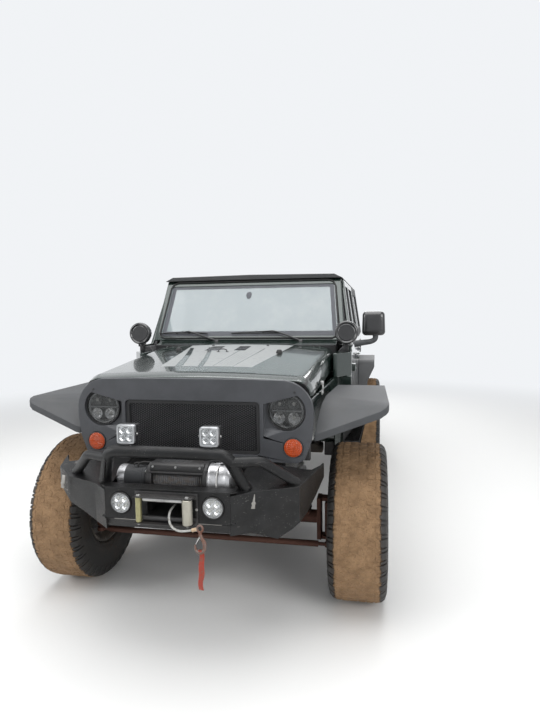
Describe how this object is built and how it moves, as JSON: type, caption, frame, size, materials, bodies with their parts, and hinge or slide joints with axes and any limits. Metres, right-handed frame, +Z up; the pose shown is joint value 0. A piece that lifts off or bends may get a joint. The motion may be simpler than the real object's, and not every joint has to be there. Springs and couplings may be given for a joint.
{
  "type": "lifted four-door off-road 4x4",
  "caption": "Lifted four-door off-road 4x4 with hard top, flat flares, winch bumper, large muddy tyres and swing-out spare wheel.",
  "frame": {"origin": "on the ground, under the middle of the vehicle's outline", "axes": "+X is the vehicle's left, +Y runs to its rear, +Z is up"},
  "size_m": [2.027, 4.942, 1.93],
  "materials": {
    "paint": "metallic dark green, glossy",
    "hardtop": "textured black",
    "flare": "grained dark grey",
    "grille": "satin dark grey",
    "mesh": "black perforated sheet",
    "bumper": "textured black, scraped",
    "frame": "black, dusty",
    "rusty_steel": "rusty brown",
    "steel": "zinc plated, worn",
    "winch": "cast, satin",
    "rope": "grey braided",
    "lamp": "clear lamp",
    "amber": "amber lens",
    "red": "red lens",
    "glass": "clear tinted",
    "trim": "black",
    "rim": "satin black",
    "tyre": "black, muddy tread",
    "dash": "dark grey grained",
    "seat": "dark grey cloth"
  },
  "bodies": {
    "root": {"body_tub": "paint", "front_fenders": "paint", "windshield_frame": "paint", "hardtop": "hardtop", "fender_flares": "flare", "grille_shell": "grille", "grille_mesh": "mesh", "front_bumper": "bumper", "rear_bumper": "bumper", "frame_rails": "frame", "control_arms": "frame", "springs_and_shocks": "frame", "roll_bar": "frame", "fuel_tank": "frame", "front_axle": "rusty_steel", "rear_axle": "rusty_steel", "driveshafts": "rusty_steel", "exhaust": "rusty_steel", "tow_hook": "rusty_steel", "engine_block": "rusty_steel", "fairlead": "steel", "hood_latches": "steel", "winch": "winch", "winch_rope": "rope", "headlamps": "lamp", "driving_lamps": "lamp", "turn_signals": "amber", "tail_lights": "red", "windshield": "glass", "hardtop_glass": "glass", "wipers": "trim", "dashboard": "dash", "front_seats": "seat", "rear_seat": "seat"},
    "hood": {"hood": "paint"},
    "front_door_left": {"front_door_left": "paint", "front_door_glass_left": "glass", "door_mirror": "trim"},
    "front_door_right": {"front_door_right": "paint", "front_door_glass_right": "glass"},
    "rear_door_left": {"rear_door_left": "paint"},
    "rear_door_right": {"rear_door_right": "paint", "rear_door_glass_right": "glass"},
    "tailgate": {"tailgate": "paint", "tyre_spare": "tyre", "rim_spare": "rim"},
    "steering_wheel": {"steering_wheel": "dash"},
    "knuckle_left": {"knuckle_left": "rusty_steel"},
    "knuckle_right": {"knuckle_right": "rusty_steel"},
    "tie_rod": {"tie_rod": "rusty_steel"},
    "pitman_arm": {"pitman_arm": "rusty_steel"},
    "drag_link": {"drag_link": "rusty_steel"},
    "wheel_front_left": {"tyre_front_left": "tyre", "rim_front_left": "rim"},
    "wheel_front_right": {"tyre_front_right": "tyre", "rim_front_right": "rim"},
    "wheel_rear_left": {"tyre_rear_left": "tyre", "rim_rear_left": "rim"},
    "wheel_rear_right": {"tyre_rear_right": "tyre", "rim_rear_right": "rim"}
  },
  "joints": [
    {"name": "hood_lift", "type": "hinge", "parent": "root", "child": "hood", "pos_m": [0, -0.885, 1.418], "axis": [-1, 0, 0], "range_deg": [0, 55]},
    {"name": "front_door_left_hinge", "type": "hinge", "parent": "root", "child": "front_door_left", "pos_m": [0.801, -0.918, 1.06], "axis": [0, 0, -1], "range_deg": [0, 68]},
    {"name": "front_door_right_hinge", "type": "hinge", "parent": "root", "child": "front_door_right", "pos_m": [-0.801, -0.918, 1.06], "axis": [0, 0, 1], "range_deg": [0, 68]},
    {"name": "rear_door_left_hinge", "type": "hinge", "parent": "root", "child": "rear_door_left", "pos_m": [0.801, 0.026, 1.06], "axis": [0, 0, -1], "range_deg": [0, 68]},
    {"name": "rear_door_right_hinge", "type": "hinge", "parent": "root", "child": "rear_door_right", "pos_m": [-0.801, 0.026, 1.06], "axis": [0, 0, 1], "range_deg": [0, 68]},
    {"name": "tailgate_hinge", "type": "hinge", "parent": "root", "child": "tailgate", "pos_m": [-0.612, 2.103, 1.1], "axis": [0, 0, 1], "range_deg": [0, 85]},
    {"name": "steering", "type": "hinge", "parent": "root", "child": "knuckle_left", "pos_m": [0.69, -1.583, 0.44], "axis": [0, 0, 1], "range_deg": [-30, 30]},
    {"name": "right_steering", "type": "hinge", "parent": "root", "child": "knuckle_right", "pos_m": [-0.69, -1.583, 0.44], "axis": [0, 0, 1], "range_deg": [-30, 30]},
    {"name": "tie_rod_swing", "type": "hinge", "parent": "knuckle_left", "child": "tie_rod", "pos_m": [0.69, -1.748, 0.348], "axis": [0, 0, 1], "range_deg": [-30, 30]},
    {"name": "pitman_swing", "type": "hinge", "parent": "root", "child": "pitman_arm", "pos_m": [0.36, -1.883, 0.56], "axis": [0, 0, 1], "range_deg": [-30, 30]},
    {"name": "drag_link_swing", "type": "hinge", "parent": "pitman_arm", "child": "drag_link", "pos_m": [0.36, -2.048, 0.533], "axis": [0, 0, 1], "range_deg": [-30, 30]},
    {"name": "steering_wheel_turn", "type": "hinge", "parent": "root", "child": "steering_wheel", "pos_m": [0.37, -0.193, 1.3], "axis": [0, 0.9135, 0.4067], "range_deg": [-425, 425]},
    {"name": "wheel_front_left_spin", "type": "hinge", "parent": "knuckle_left", "child": "wheel_front_left", "pos_m": [0.85, -1.583, 0.44], "axis": [1, 0, 0], "continuous": true},
    {"name": "wheel_front_right_spin", "type": "hinge", "parent": "knuckle_right", "child": "wheel_front_right", "pos_m": [-0.85, -1.583, 0.44], "axis": [1, 0, 0], "continuous": true},
    {"name": "wheel_rear_left_spin", "type": "hinge", "parent": "root", "child": "wheel_rear_left", "pos_m": [0.85, 1.364, 0.44], "axis": [1, 0, 0], "continuous": true},
    {"name": "wheel_rear_right_spin", "type": "hinge", "parent": "root", "child": "wheel_rear_right", "pos_m": [-0.85, 1.364, 0.44], "axis": [1, 0, 0], "continuous": true}
  ],
  "couplings": [
    {"joint": "right_steering", "follows": "steering", "ratio": 1},
    {"joint": "tie_rod_swing", "follows": "steering", "ratio": -1},
    {"joint": "pitman_swing", "follows": "steering", "ratio": 1},
    {"joint": "drag_link_swing", "follows": "steering", "ratio": -1},
    {"joint": "steering_wheel_turn", "follows": "steering", "ratio": 14}
  ]
}
